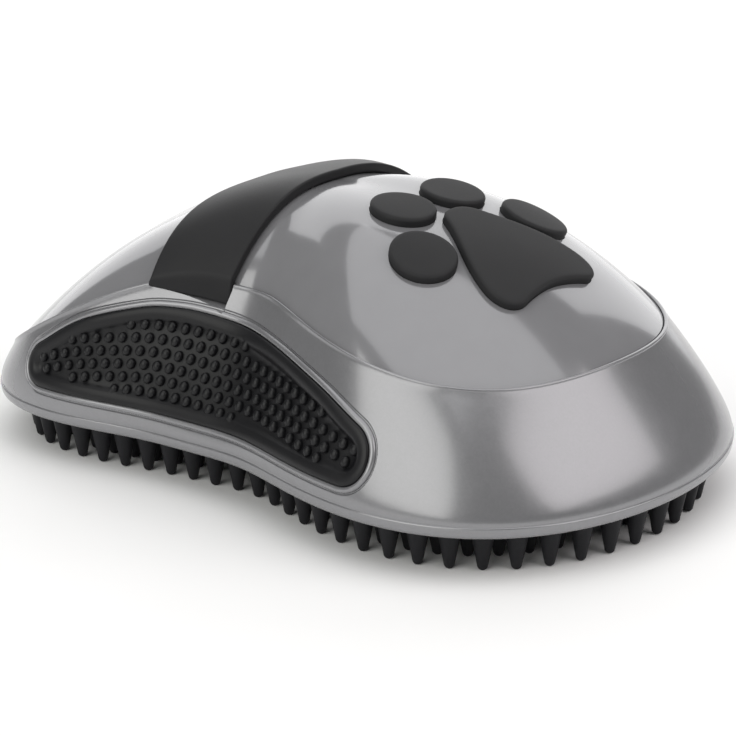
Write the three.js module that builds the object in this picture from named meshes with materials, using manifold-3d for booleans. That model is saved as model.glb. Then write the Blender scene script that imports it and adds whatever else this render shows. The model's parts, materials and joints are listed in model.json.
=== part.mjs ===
// A palm-sized rubber curry brush: an oval two-piece plastic body with a black rubber palm strap,
// rubber side grips, a paw of rubber pads on its dome, and a rubber sole of short conical teeth.
//
// Millimetres, +Z up, +X towards the wide nose, +Y to the left. The origin is the middle of the
// footprint, on the surface that the teeth stand on.
//
// The body is described around an upright apex axis. A direction round it is an angle, 0 at the
// nose and PI at the tail, and both sides are alike.

import * as THREE from 'three';
import { ParametricGeometry } from 'three/addons/geometries/ParametricGeometry.js';
import { mergeVertices } from 'three/addons/utils/BufferGeometryUtils.js';
import Module from 'manifold-3d';

// ---------------------------------------------------------------- driving dimensions

const GAP = 0.3; // clearance between neighbouring pieces
const ANGLE_STEPS = 48; // facets round the body
const FAR = 60; // longer than anything that a cut has to pass through

// Plan of the rim, radius from the apex axis at equal angles from the nose to the tail.
const RIM_RADII = [70.8, 68.7, 55.9, 39.1, 36.3, 42.5, 55.8, 58.2, 58.7];
const RIM_BULGE = 0.6; // the rim band stands out this much above its bottom edge
const RIM_BOTTOM = 7;
const RIM_TOP = 9.1; // crease between the rim band and the skirt

// The seam where the dome drops into the lower shell.
const SEAM_INSETS = [12.3, 11.7, 10.3, 3.9, 2.1]; // inward from the rim, nose to tail
const SEAM_HEIGHTS = [26.6, 26.9, 32, 33.2, 28, 13.7, 16.6]; // nose to tail

const SKIRT_BELLY = 0.21; // place of the skirt curve's control point, across and up
const SKIRT_RISE = 0.37;
const SHELL_WALL = 2.4;
const LIP_STANDOFF = 0.6;
const LIP_THICKNESS = 0.85;
const LEDGE_WIDTH = 1.8;
const LEDGE_THICKNESS = 1.5;

const DOME_TOP = 45.2; // at the apex axis
const DOME_TILT = 0.158; // slope there, up towards the nose
const DOME_NOSE_POWER = 1.6; // how full the dome's profile is in each direction
const DOME_SIDE_POWER = 2.85;
const DOME_TAIL_POWER = 2.5;

const STRAP_FRONT = 1.6; // front and back edges, along X from the apex axis
const STRAP_BACK = -12.6;
const STRAP_TAPER = 1.6; // the back edge comes forward by this much at the strap's ends
const STRAP_THICKNESS = 1.35;
const STRAP_GAP = GAP + 0.1; // between the strap and the dome
const STRAP_CORNER = 2; // stations along the strap past the dome's edge
const STRAP_BEND = 3;
const STRAP_TAIL = 4;
const STRAP_TAIL_BOTTOM = 31;
const STRAP_TUCK = 0.3; // the corner below the seam lies in by this much
const STRAP_BEND_WIDTH = 1.6; // the tail is level from this far inside the dome's edge
const STRAP_TWIST = 0.054; // outside that it slopes down towards the nose, more the further out
const STRAP_TAIL_END = 19.6; // the tucked tail reaches in to this distance from the centre line
const STRAP_MIDDLE = (STRAP_FRONT + STRAP_BACK) / 2;
const NOTCH_OUT = 2; // the notch in the lip opens outwards this much further than the strap
const CLAMP_LENGTH = 11.8;
const CLAMP_WIDTH = 4;
const CLAMP_THICKNESS = 2;
const CLAMP_SCREW_X = [-9.3, -1.3];

const PAW_REACH = 0.95; // the paw stays inside this fraction of the way out to the seam
const PAD_STANDOFF = 1.4;
const PAD_SINK = 0.9;
const PAD_STEM_RADIUS = 1.5;
const PAD_STEM_LENGTH = 3.6;
const TOE_RADIUS = 5.3;
const TOES = {
  toe_pad_outer_right: [31.2, -14],
  toe_pad_inner_right: [20.5, -6.2],
  toe_pad_inner_left: [20.5, 6.2],
  toe_pad_outer_left: [31.2, 14],
};
const HEEL_BACK = 25.2; // narrow end of the heel pad
const HEEL_FRONT = 46.3;
const HEEL_LOBE_HALF = 11.8;
const HEEL_STEMS = [[33, 0], [41, -6], [41, 6]];

// A side grip's outline in X and Z: a flat foot, an arched crown and two rounded ends.
const GRIP_FOOT_BACK = [-29, 12.6];
const GRIP_FOOT_FRONT = [36, 11.8];
const GRIP_NOSE = [37.4, 20.6];
const GRIP_CROWN = [
  [29, 23.9], [20, 25.9], [10, 27.1], [0, 28.4], [-6, 28.8], [-12, 28.2], [-22, 24.9], [-30, 19.8],
];
const GRIP_NOSE_BULGE = 4.8; // reach of the rounded ends' control points
const GRIP_TAIL_BULGE = 4.2;
const GRIP_CLEAR_OF_MIDDLE = 10;
const GRIP_STANDOFF = 0.5;
const GRIP_BORDER = 2.4;
const GRIP_RECESS = 0.9;
const GRIP_FLANGE_REACH = 1;
const GRIP_FLANGE_THICKNESS = 1.5;
const BEAD_WIDTH = 2;
const BEAD_HEIGHT = 0.5;

const TOOTH_BASE_Z = 6.6; // the sole's flat underside
const TOOTH_ROOT = 0.3; // length buried in the sole
const TOOTH_BASE_RADIUS = 2.4;
const TOOTH_TIP_RADIUS = 0.7;
const TOOTH_SIDES = 5;
const TOOTH_PITCH_NOSE = 5.4; // along the outer row, wider round the nose
const TOOTH_PITCH_SIDE = 4.4;
const TOOTH_RING_INSETS = [3.6, 6.7, 5.1, 5.8, 4.8]; // outer row, inward from the rim, nose to tail
const TOOTH_ROW_STEP = 5.4; // to the second row, whose teeth stand in line with the outer row's
const FIELD_STEP = 11; // from this far inside the outer row, the teeth stand in staggered rows
const FIELD_PITCH = 8;
const SOLE_INSET = 2.5;
const SOLE_TOP = 8.7;

const BASE_INSET = 5;
const BASE_BOTTOM = 9;
const BASE_THICKNESS = 2;
const CUP_RADIUS = 4.5;
const CUP_TOP = 13;
const LUG_ANGLES = [0, 32, -32, 134, -134]; // degrees
const LUG_SIZE = [6, 5, 3];
const LUG_SINK = 2.4; // from the rim to the lug's outer end, buried in the wall
const CASE_SCREWS = [[38, -24], [38, 24], [-38, -22], [-38, 22]];
const CASE_BOSS_RADIUS = 3.5;
const CASE_SCREW = { head: 2.8, headHeight: 1.7, shank: 1.5, length: 11 };
const CLAMP_BOSS_RADIUS = 2.3;
const HOLE_SPARE = 0.6; // depth of a screw hole past the screw's point
const CLAMP_SCREW = { head: 1.9, headHeight: 1.5, shank: 1.1, length: 7.5 };

// ---------------------------------------------------------------- solids

const wasm = await Module();
wasm.setup();

/** Merges shared vertices, drops collapsed triangles and turns the faces outwards. */
function closed(geometry) {
  const bare = geometry.clone();
  bare.deleteAttribute('normal');
  bare.deleteAttribute('uv');
  const merged = mergeVertices(bare, 1e-4);
  const source = merged.index.array;
  const kept = [];
  for (let i = 0; i < source.length; i += 3) {
    const [a, b, c] = [source[i], source[i + 1], source[i + 2]];
    if (a !== b && b !== c && c !== a) {
      kept.push(a, b, c);
    }
  }
  const corners = [new THREE.Vector3(), new THREE.Vector3(), new THREE.Vector3()];
  let volume = 0;
  for (let i = 0; i < kept.length; i += 3) {
    corners.forEach((corner, k) => corner.fromBufferAttribute(merged.attributes.position, kept[i + k]));
    volume += corners[0].dot(corners[1].cross(corners[2]));
  }
  if (volume < 0) {
    kept.reverse();
  }
  merged.setIndex(kept);
  return merged;
}

/** Turns a closed geometry into a solid that can be joined and cut. */
function solid(geometry) {
  const mesh = closed(geometry);
  return new wasm.Manifold(new wasm.Mesh({
    numProp: 3,
    vertProperties: new Float32Array(mesh.attributes.position.array),
    triVerts: new Uint32Array(mesh.index.array),
  }));
}

/** Turns a solid back into a geometry with flat-shaded faces. */
function geometryOf(shape) {
  const mesh = shape.getMesh();
  const geometry = new THREE.BufferGeometry();
  geometry.setAttribute('position', new THREE.BufferAttribute(mesh.vertProperties, 3));
  geometry.setIndex(new THREE.BufferAttribute(mesh.triVerts, 1));
  return geometry;
}

/** A closed surface from a function of two numbers from 0 to 1. */
function surfaceSolid(pointAt, slices, stacks) {
  return solid(new ParametricGeometry(pointAt, slices, stacks));
}

/** A ring whose closed section, a list of [radius, height], changes with the angle. */
function ringSolid(sectionAt) {
  const sections = [];
  for (let step = 0; step < ANGLE_STEPS; step += 1) {
    sections.push(sectionAt(step / ANGLE_STEPS * 2 * Math.PI));
  }
  const count = sections[0].length;
  return surfaceSolid((u, v, target) => {
    const step = Math.round(u * ANGLE_STEPS) % ANGLE_STEPS;
    const angle = step / ANGLE_STEPS * 2 * Math.PI;
    const [radius, height] = sections[step][Math.round(v * count) % count];
    target.set(radius * Math.cos(angle), radius * Math.sin(angle), height);
  }, ANGLE_STEPS, count);
}

/** An upright cylinder between two heights. */
function post([x, y], radius, bottom, top, sides = 9) {
  const geometry = new THREE.CylinderGeometry(radius, radius, top - bottom, sides);
  geometry.rotateX(Math.PI / 2);
  geometry.translate(x, y, (bottom + top) / 2);
  return solid(geometry);
}

/** A flat plate with the given plan outline, between two heights. */
function plate(outline, bottom, top) {
  const settings = { depth: top - bottom, bevelEnabled: false };
  const geometry = new THREE.ExtrudeGeometry(new THREE.Shape(outline), settings);
  geometry.translate(0, 0, bottom);
  return solid(geometry);
}

/** A prism with an outline drawn in X and Z, reaching out of one side of the body. */
function sidePrism(outline, side) {
  const settings = { depth: FAR, bevelEnabled: false };
  const geometry = new THREE.ExtrudeGeometry(new THREE.Shape(outline), settings);
  geometry.rotateX(Math.PI / 2);
  geometry.translate(0, -GRIP_CLEAR_OF_MIDDLE, 0);
  if (side > 0) {
    geometry.scale(1, -1, 1);
  }
  return solid(geometry);
}

/** Moves each point of a closed outline outwards by a distance, or inwards if it is negative. */
function grown(outline, distance) {
  const direction = THREE.ShapeUtils.isClockWise(outline) ? -1 : 1;
  return outline.map((point, i) => {
    const before = outline[(i + outline.length - 1) % outline.length];
    const after = outline[(i + 1) % outline.length];
    const along = after.clone().sub(before).normalize();
    const outward = new THREE.Vector2(along.y, -along.x).multiplyScalar(direction);
    return point.clone().addScaledVector(outward, distance);
  });
}

// ---------------------------------------------------------------- the body's form

/** A smooth curve round the body through values at equal angles from the nose to the tail. */
function evenCurve(stations) {
  const last = stations.length - 1;
  const weight = (i) => (i === 0 || i === last ? 0.5 : 1);
  const terms = stations.map((_, k) => {
    const waves = stations.map((value, i) => weight(i) * value * Math.cos(k * i * Math.PI / last));
    return 2 / last * weight(k) * waves.reduce((sum, wave) => sum + wave, 0);
  });
  return (angle) => terms.reduce((sum, term, k) => sum + term * Math.cos(k * angle), 0);
}

const rimRadius = evenCurve(RIM_RADII);
const FOOTPRINT_CENTRE = (rimRadius(0) - rimRadius(Math.PI)) / 2; // middle of the footprint along X
const seamInset = evenCurve(SEAM_INSETS);
const seamHeight = evenCurve(SEAM_HEIGHTS);
const seamRadius = (angle) => rimRadius(angle) - seamInset(angle);
const ringInset = evenCurve(TOOTH_RING_INSETS);

/** The outside of the skirt at a height: a curve bulging from the rim crease to the seam. */
function skirtRadius(angle, height) {
  const low = rimRadius(angle) + RIM_BULGE;
  const high = seamRadius(angle) + LIP_STANDOFF;
  const middle = low + SKIRT_BELLY * (high - low);
  const top = seamHeight(angle);
  const rise = SKIRT_RISE * (top - RIM_TOP);
  const bend = top - RIM_TOP - 2 * rise;
  const reach = Math.max(height - RIM_TOP, 0);
  const t = (Math.sqrt(rise * rise + bend * reach) - rise) / bend;
  return (1 - t) ** 2 * low + 2 * t * (1 - t) * middle + t * t * high;
}

/** The height of the dome's outside over a place in plan. */
function domeHeight(x, y) {
  const angle = Math.atan2(y, x);
  const reach = Math.hypot(x, y) / seamRadius(angle);
  const along = Math.cos(angle) ** 2;
  const endPower = x >= 0 ? DOME_NOSE_POWER : DOME_TAIL_POWER;
  const power = endPower * along + DOME_SIDE_POWER * (1 - along);
  const edge = seamHeight(angle);
  return edge + (DOME_TOP - edge) * (1 - reach ** power) + DOME_TILT * x * (1 - reach ** 2);
}

/** A point straight above the dome's outside, or below it if the rise is negative. */
function domeRaised(x, y, rise) {
  return new THREE.Vector3(x, y, domeHeight(x, y) + rise);
}

/** A point standing off the dome by a distance square to its surface. */
function domePoint(x, y, standoff) {
  const step = 0.05;
  const slopeX = (domeHeight(x + step, y) - domeHeight(x - step, y)) / (2 * step);
  const slopeY = (domeHeight(x, y + step) - domeHeight(x, y - step)) / (2 * step);
  const outward = new THREE.Vector3(-slopeX, -slopeY, 1).normalize();
  return new THREE.Vector3(x, y, domeHeight(x, y)).addScaledVector(outward, standoff);
}

/** A layer of dome between two offsets from its outside, out to a fraction of the seam. */
function domeSlab(low, high, reach, pointOff) {
  const rings = 6;
  return surfaceSolid((u, v, target) => {
    const angle = (Math.round(u * ANGLE_STEPS) % ANGLE_STEPS) / ANGLE_STEPS * 2 * Math.PI;
    const row = Math.round(v * (2 * rings + 1));
    const outside = row <= rings;
    const ring = outside ? row : 2 * rings + 1 - row;
    const radius = reach * seamRadius(angle) * Math.sin(ring / rings * Math.PI / 2);
    const [x, y] = [radius * Math.cos(angle), radius * Math.sin(angle)];
    target.copy(pointOff(x, y, outside ? high : low));
  }, ANGLE_STEPS, 2 * rings + 1);
}

/** The plan outline of the rim, moved inwards. */
function rimOutline(inset) {
  const points = [];
  for (let step = 0; step < ANGLE_STEPS; step += 1) {
    const angle = step / ANGLE_STEPS * 2 * Math.PI;
    const radius = rimRadius(angle) - inset;
    points.push(new THREE.Vector2(radius * Math.cos(angle), radius * Math.sin(angle)));
  }
  return points;
}

// ---------------------------------------------------------------- shared outlines

/** A circle in plan. */
function circleOutline([x, y], radius) {
  return new THREE.EllipseCurve(x, y, radius, radius).getPoints(16).slice(0, -1);
}

/** The heel pad in plan: a blunt wedge that widens to two lobes at the nose end. */
function heelOutline() {
  const shape = new THREE.Shape();
  shape.moveTo(HEEL_BACK, 0);
  shape.bezierCurveTo(HEEL_BACK, 2.4, HEEL_BACK + 1, 3.4, HEEL_BACK + 3, 4.4);
  shape.bezierCurveTo(HEEL_BACK + 8, 7.2, HEEL_BACK + 11.6, 10.8, HEEL_FRONT - 4.4, HEEL_LOBE_HALF);
  shape.bezierCurveTo(HEEL_FRONT - 1, HEEL_LOBE_HALF + 0.4, HEEL_FRONT + 0.6, 9.8, HEEL_FRONT, 7.2);
  shape.bezierCurveTo(HEEL_FRONT - 0.4, 4.8, HEEL_FRONT - 0.7, 2, HEEL_FRONT - 0.7, 0);
  const half = shape.getPoints(4);
  const mirrored = half.slice(1, -1).reverse().map((point) => new THREE.Vector2(point.x, -point.y));
  return [...half, ...mirrored];
}

/** A side grip seen from the side, in X and Z: a low arch with a flat foot and rounded ends. */
function gripOutline() {
  const shape = new THREE.Shape();
  const [footBackX, footBackZ] = GRIP_FOOT_BACK;
  const [footFrontX, footFrontZ] = GRIP_FOOT_FRONT;
  const [noseX, noseZ] = GRIP_NOSE;
  const [tailX, tailZ] = GRIP_CROWN.at(-1);
  shape.moveTo(footBackX, footBackZ);
  shape.lineTo(footFrontX, footFrontZ);
  shape.bezierCurveTo(
    footFrontX + GRIP_NOSE_BULGE, footFrontZ,
    noseX + GRIP_NOSE_BULGE, noseZ - GRIP_NOSE_BULGE / 2,
    noseX, noseZ,
  );
  shape.splineThru(GRIP_CROWN.map(([x, z]) => new THREE.Vector2(x, z)));
  shape.bezierCurveTo(
    tailX - GRIP_TAIL_BULGE, tailZ - GRIP_TAIL_BULGE / 2,
    footBackX - GRIP_TAIL_BULGE, footBackZ,
    footBackX, footBackZ,
  );
  return shape.getSpacedPoints(26).slice(0, -1);
}

// ---------------------------------------------------------------- shells

/** The closed section of the lower shell, from the rim's bottom edge up over the lip and back. */
function lowerSection(angle) {
  const rim = rimRadius(angle);
  const seam = seamRadius(angle);
  const top = seamHeight(angle);
  const ledge = top - SHELL_WALL - GAP;
  const under = ledge - LEDGE_THICKNESS;
  const skirt = [0.12, 0.3, 0.5, 0.7, 0.88].map((t) => {
    const height = RIM_TOP + t * (top - RIM_TOP);
    return [skirtRadius(angle, height), height];
  });
  const inside = [1, 0.66, 0.33, 0].map((t) => {
    const height = RIM_TOP + t * (under - 0.1 - RIM_TOP);
    return [skirtRadius(angle, height) - SHELL_WALL, height];
  });
  return [
    [rim, RIM_BOTTOM],
    [rim + RIM_BULGE, RIM_TOP - 0.6],
    [rim + RIM_BULGE - 0.3, RIM_TOP],
    ...skirt,
    [seam + GAP + LIP_THICKNESS, top - 0.4],
    [seam + GAP + LIP_THICKNESS / 2, top + 0.3],
    [seam + GAP, top],
    [seam + GAP, ledge],
    [seam - LEDGE_WIDTH, ledge],
    [seam - LEDGE_WIDTH, under],
    ...inside,
    [rim - SHELL_WALL + RIM_BULGE, RIM_BOTTOM],
  ];
}

/** A band of the skirt between two distances outside its surface, ending below the seam. */
function skirtBand(low, high, belowSeam = 1) {
  return ringSolid((angle) => {
    const climb = seamHeight(angle) - belowSeam - RIM_TOP;
    const heights = [0, 0.35, 0.7, 1].map((t) => RIM_TOP + t * climb);
    const outer = heights.map((height) => [skirtRadius(angle, height) + high, height]);
    const inner = heights.map((height) => [skirtRadius(angle, height) + low, height]);
    return [...outer, ...inner.reverse()];
  });
}

/** A block inside the rim that the base plate is pulled up against. */
function lug(degrees) {
  const angle = THREE.MathUtils.degToRad(degrees);
  const geometry = new THREE.BoxGeometry(...LUG_SIZE);
  const reach = rimRadius(angle) - LUG_SINK - LUG_SIZE[0] / 2;
  const bottom = BASE_BOTTOM + BASE_THICKNESS + GAP;
  geometry.translate(reach, 0, bottom + LUG_SIZE[2] / 2);
  geometry.rotateZ(angle);
  return solid(geometry);
}

function lowerShell() {
  let shell = ringSolid(lowerSection);
  const outline = gripOutline();
  const bead = skirtBand(-1, BEAD_HEIGHT);
  for (const side of [-1, 1]) {
    shell = shell.add(bead.intersect(sidePrism(grown(outline, BEAD_WIDTH), side)));
    shell = shell.subtract(sidePrism(grown(outline, GAP), side));
  }
  for (const degrees of LUG_ANGLES) {
    shell = shell.add(lug(degrees));
  }
  return shell.subtract(strapSolid(GAP, NOTCH_OUT));
}

/** A boss hanging inside the dome, with its top buried in the dome's wall. */
function boss(place, radius, bottom) {
  const underDome = domeSlab(-DOME_TOP, -SHELL_WALL / 2, 1, domeRaised);
  return post(place, radius, bottom, DOME_TOP).intersect(underDome);
}

function upperShell() {
  let shell = domeSlab(-SHELL_WALL, 0, 1, domeRaised);
  for (const [outline, stems] of padLayouts()) {
    const pocket = domeSlab(-PAD_SINK - GAP, PAD_STANDOFF + 1, PAW_REACH, domePoint);
    shell = shell.subtract(pocket.intersect(plate(grown(outline, GAP), 0, FAR)));
    for (const stem of stems) {
      shell = shell.subtract(post(stem, PAD_STEM_RADIUS + GAP, DOME_TOP / 2, FAR));
    }
  }
  for (const place of CASE_SCREWS) {
    shell = shell.add(boss(place, CASE_BOSS_RADIUS, CUP_TOP + GAP));
    const holeTop = BASE_BOTTOM + CASE_SCREW.length + HOLE_SPARE;
    shell = shell.subtract(post(place, CASE_SCREW.shank + GAP, CUP_TOP, holeTop));
  }
  for (const place of clampScrewPlaces()) {
    const bottom = STRAP_TAIL_BOTTOM + STRAP_THICKNESS + GAP;
    shell = shell.add(boss(place, CLAMP_BOSS_RADIUS, bottom));
    const holeTop = clampScrewBottom() + CLAMP_SCREW.length + HOLE_SPARE;
    shell = shell.subtract(post(place, CLAMP_SCREW.shank + GAP, bottom - 1, holeTop));
  }
  return shell.subtract(strapSolid(GAP, 0));
}

// ---------------------------------------------------------------- palm strap

/** How far the dome reaches to one side at a place along X, found by halving. */
function seamReach(x) {
  let low = 0;
  let high = FAR;
  for (let halving = 0; halving < 30; halving += 1) {
    const middle = (low + high) / 2;
    const inside = Math.hypot(x, middle) < seamRadius(Math.atan2(middle, x));
    low = inside ? middle : low;
    high = inside ? high : middle;
  }
  return low;
}

/** The strap's back edge at a station along it, straight over the dome and nearer at the ends. */
function strapBack(station) {
  const taper = THREE.MathUtils.clamp(2 * station - 1, 0, 1) ** 2;
  return STRAP_BACK + taper * STRAP_TAPER;
}

/**
 * A point of the strap's section, as Y and Z. Stations up to 1 lie over the dome, as a fraction of
 * the way to its edge; the rest are the corner below the seam, the bend and the tail's end.
 */
function strapStation(station, x, across, side, grow, outGrow) {
  const reach = seamReach(x);
  const inner = STRAP_GAP - grow;
  const outer = STRAP_GAP + STRAP_THICKNESS + grow + outGrow;
  const standoff = inner + across * (outer - inner);
  if (station <= 1) {
    const point = domePoint(x, side * station * reach, standoff);
    return [point.y, point.z];
  }
  const tailTop = STRAP_TAIL_BOTTOM + STRAP_THICKNESS + grow;
  const tailBottom = STRAP_TAIL_BOTTOM - grow;
  const height = tailTop + across * (tailBottom - tailTop);
  if (station === STRAP_CORNER) {
    const out = standoff - STRAP_TUCK;
    const rise = STRAP_TWIST * (STRAP_MIDDLE - x) * (out + STRAP_BEND_WIDTH);
    return [side * (reach + out), height + rise];
  }
  if (station === STRAP_BEND) {
    return [side * (reach - STRAP_BEND_WIDTH), height];
  }
  return [side * (STRAP_TAIL_END - grow), height];
}

/** The strap as one band, or that band grown a little to clear its path. */
function strapSolid(grow, outGrow) {
  const half = [0, 0.16, 0.32, 0.48, 0.62, 0.75, 0.87, 1, STRAP_CORNER, STRAP_BEND, STRAP_TAIL];
  const stations = [
    ...half.slice(1).reverse().map((station) => [station, -1]),
    ...half.map((station) => [station, 1]),
  ];
  const columns = [0, 0.25, 0.5, 0.75, 1];
  const section = [
    ...columns.map((column) => [column, 0]),
    ...columns.reverse().map((column) => [column, 1]),
  ];
  const count = section.length;
  const rows = stations.length + 1;
  return surfaceSolid((u, v, target) => {
    const row = Math.round(u * rows);
    const [station, side] = stations[Math.min(Math.max(row - 1, 0), stations.length - 1)];
    const onCap = row === 0 || row === rows;
    const [column, across] = onCap ? [0.5, 0.5] : section[Math.round(v * count) % count];
    const back = strapBack(station) - grow;
    const x = back + column * (STRAP_FRONT + grow - back);
    target.set(x, ...strapStation(station, x, across, side, grow, outGrow));
  }, rows, count);
}

/** The underside of the clamp screws' heads. */
function clampScrewBottom() {
  return STRAP_TAIL_BOTTOM - CLAMP_THICKNESS - 2 * GAP - CLAMP_SCREW.headHeight;
}

/** Where the clamp screws pass through the strap's tucked tails. */
function clampScrewPlaces() {
  const reach = STRAP_TAIL_END + CLAMP_WIDTH / 2;
  return [-1, 1].flatMap((side) => CLAMP_SCREW_X.map((x) => [x, side * reach]));
}

function palmStrap() {
  let strap = strapSolid(0, 0);
  for (const place of clampScrewPlaces()) {
    const top = STRAP_TAIL_BOTTOM + 2 * STRAP_THICKNESS;
    strap = strap.subtract(post(place, CLAMP_SCREW.shank + GAP, 0, top));
  }
  return strap;
}

function strapClamp(side) {
  const top = STRAP_TAIL_BOTTOM - GAP;
  const geometry = new THREE.BoxGeometry(CLAMP_LENGTH, CLAMP_WIDTH, CLAMP_THICKNESS);
  const middle = side * (STRAP_TAIL_END + CLAMP_WIDTH / 2);
  geometry.translate(STRAP_MIDDLE, middle, top - CLAMP_THICKNESS / 2);
  let clamp = solid(geometry);
  for (const x of CLAMP_SCREW_X) {
    clamp = clamp.subtract(post([x, middle], CLAMP_SCREW.shank + GAP, 0, FAR));
  }
  return clamp;
}

// ---------------------------------------------------------------- rubber pads and grips

/** Each paw pad's plan outline with the places of the stems that hold it in the dome. */
function padLayouts() {
  const toes = Object.values(TOES).map((place) => [circleOutline(place, TOE_RADIUS), [place]]);
  return [...toes, [heelOutline(), HEEL_STEMS]];
}

function pawPad([outline, stems]) {
  const layer = domeSlab(-PAD_SINK, PAD_STANDOFF, PAW_REACH, domePoint);
  let pad = layer.intersect(plate(outline, 0, FAR));
  for (const stem of stems) {
    const height = domeHeight(...stem);
    pad = pad.add(post(stem, PAD_STEM_RADIUS, height - PAD_STEM_LENGTH, height - PAD_SINK / 2));
  }
  return pad;
}

/** A side grip: a pad that fills the window, with a recessed field and a flange behind the wall. */
function sideGrip(side) {
  const outline = gripOutline();
  const flangeTop = -SHELL_WALL - GAP;
  const flangeBottom = flangeTop - GRIP_FLANGE_THICKNESS;
  const plug = skirtBand(flangeBottom, GRIP_STANDOFF).intersect(sidePrism(outline, side));
  const field = skirtBand(GRIP_STANDOFF - GRIP_RECESS, GRIP_STANDOFF + 3);
  const flange = skirtBand(flangeBottom, flangeTop, SHELL_WALL + LEDGE_THICKNESS + 2 * GAP);
  return plug
    .subtract(field.intersect(sidePrism(grown(outline, -GRIP_BORDER), side)))
    .add(flange.intersect(sidePrism(grown(outline, GRIP_FLANGE_REACH), side)));
}

// ---------------------------------------------------------------- sole and base plate

/** The wanted distance from one tooth of the outer row to the next. */
function toothPitch(angle) {
  const towardsNose = Math.max(Math.cos(angle), 0) ** 4;
  return TOOTH_PITCH_SIDE + towardsNose * (TOOTH_PITCH_NOSE - TOOTH_PITCH_SIDE);
}

/** The angles of the outer row's teeth, one of them at the nose. */
function outerToothAngles() {
  const samples = 1440;
  const at = (i) => {
    const angle = i / samples * 2 * Math.PI;
    const radius = rimRadius(angle) - ringInset(angle);
    return new THREE.Vector2(radius * Math.cos(angle), radius * Math.sin(angle));
  };
  const pitches = [0]; // distance along the row, counted in pitches
  for (let i = 1; i <= samples; i += 1) {
    const pitch = toothPitch((i - 0.5) / samples * 2 * Math.PI);
    pitches.push(pitches[i - 1] + at(i).distanceTo(at(i - 1)) / pitch);
  }
  const count = Math.round(pitches[samples]);
  const angles = [];
  for (let k = 0; k < count; k += 1) {
    const target = k / count * pitches[samples];
    angles.push(pitches.findIndex((total) => total >= target) / samples * 2 * Math.PI);
  }
  return angles;
}

/** The staggered rows of teeth in the middle of the sole. */
function fieldPlaces() {
  const places = [];
  const rowPitch = FIELD_PITCH * Math.sqrt(3) / 2;
  const reach = Math.ceil(RIM_RADII[0] / FIELD_PITCH);
  for (let row = -reach; row <= reach; row += 1) {
    for (let column = -reach; column <= reach; column += 1) {
      const stagger = row % 2 === 0 ? 0 : FIELD_PITCH / 2;
      const [x, y] = [FOOTPRINT_CENTRE + column * FIELD_PITCH + stagger, row * rowPitch];
      const angle = Math.atan2(y, x);
      if (Math.hypot(x, y) < rimRadius(angle) - ringInset(angle) - FIELD_STEP) {
        places.push([x, y]);
      }
    }
  }
  return places;
}

/** The centre of every tooth, in plan. */
function toothPlaces() {
  const rows = [0, TOOTH_ROW_STEP].flatMap((step) => outerToothAngles().map((angle) => {
    const radius = rimRadius(angle) - ringInset(angle) - step;
    return [radius * Math.cos(angle), radius * Math.sin(angle)];
  }));
  return [...rows, ...fieldPlaces()];
}

function toothPad() {
  let pad = plate(rimOutline(SOLE_INSET), TOOTH_BASE_Z, SOLE_TOP);
  const height = TOOTH_BASE_Z + TOOTH_ROOT;
  const tooth = new THREE.CylinderGeometry(TOOTH_BASE_RADIUS, TOOTH_TIP_RADIUS, height, TOOTH_SIDES);
  tooth.rotateX(Math.PI / 2);
  tooth.translate(0, 0, height / 2);
  for (const [x, y] of toothPlaces()) {
    pad = pad.add(solid(tooth).translate([x, y, 0]));
  }
  return pad;
}

function basePlate() {
  const top = BASE_BOTTOM + BASE_THICKNESS;
  let base = plate(rimOutline(BASE_INSET), BASE_BOTTOM, top);
  for (const place of CASE_SCREWS) {
    base = base.add(post(place, CUP_RADIUS, top - 0.5, CUP_TOP));
    const shoulder = BASE_BOTTOM + CASE_SCREW.headHeight + 2 * GAP;
    base = base.subtract(post(place, CASE_SCREW.head + GAP, 0, shoulder));
    base = base.subtract(post(place, CASE_SCREW.shank + GAP, 0, FAR));
  }
  return base;
}

/** A pan-head screw with a crossed recess, its head at the bottom and its shank upwards. */
function screw([x, y], bottom, { head, headHeight, shank, length }) {
  const profile = [
    [0, 0], [head * 0.8, 0], [head, headHeight * 0.4], [head, headHeight],
    [shank, headHeight], [shank, length - shank], [shank * 0.3, length], [0, length],
  ];
  const lathe = new THREE.LatheGeometry(profile.map(([r, z]) => new THREE.Vector2(r, z)), 8);
  lathe.rotateX(Math.PI / 2);
  let body = solid(lathe);
  const [slotLength, slotWidth, slotDepth] = [head * 1.1, head * 0.25, headHeight];
  for (const size of [[slotLength, slotWidth, slotDepth], [slotWidth, slotLength, slotDepth]]) {
    body = body.subtract(solid(new THREE.BoxGeometry(...size)));
  }
  return body.translate([x, y, bottom]);
}

// ---------------------------------------------------------------- assembly

const GREY_SKIRT = { color: 0x8a8b8d, roughness: 0.38, metalness: 0.25 };
const GREY_DOME = { color: 0x85868a, roughness: 0.16, metalness: 0.1 };
const BLACK_RUBBER = { color: 0x202123, roughness: 0.62, metalness: 0 };
const PAD_RUBBER = { color: 0x333436, roughness: 0.7, metalness: 0 };
const DARK_NYLON = { color: 0x2b2c2e, roughness: 0.5, metalness: 0 };
const STEEL = { color: 0xb8bbc0, roughness: 0.3, metalness: 1 };

const brush = new THREE.Group();
brush.name = 'rubber_curry_brush';
brush.position.x = -FOOTPRINT_CENTRE;

function place(name, shape, finish) {
  const mesh = new THREE.Mesh(geometryOf(shape), new THREE.MeshStandardMaterial(finish));
  mesh.name = name;
  brush.add(mesh);
}

place('lower_shell', lowerShell(), GREY_SKIRT);
place('upper_shell', upperShell(), GREY_DOME);
place('palm_strap', palmStrap(), BLACK_RUBBER);
place('strap_clamp_right', strapClamp(-1), DARK_NYLON);
place('strap_clamp_left', strapClamp(1), DARK_NYLON);
place('side_grip_right', sideGrip(-1), BLACK_RUBBER);
place('side_grip_left', sideGrip(1), BLACK_RUBBER);

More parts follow.
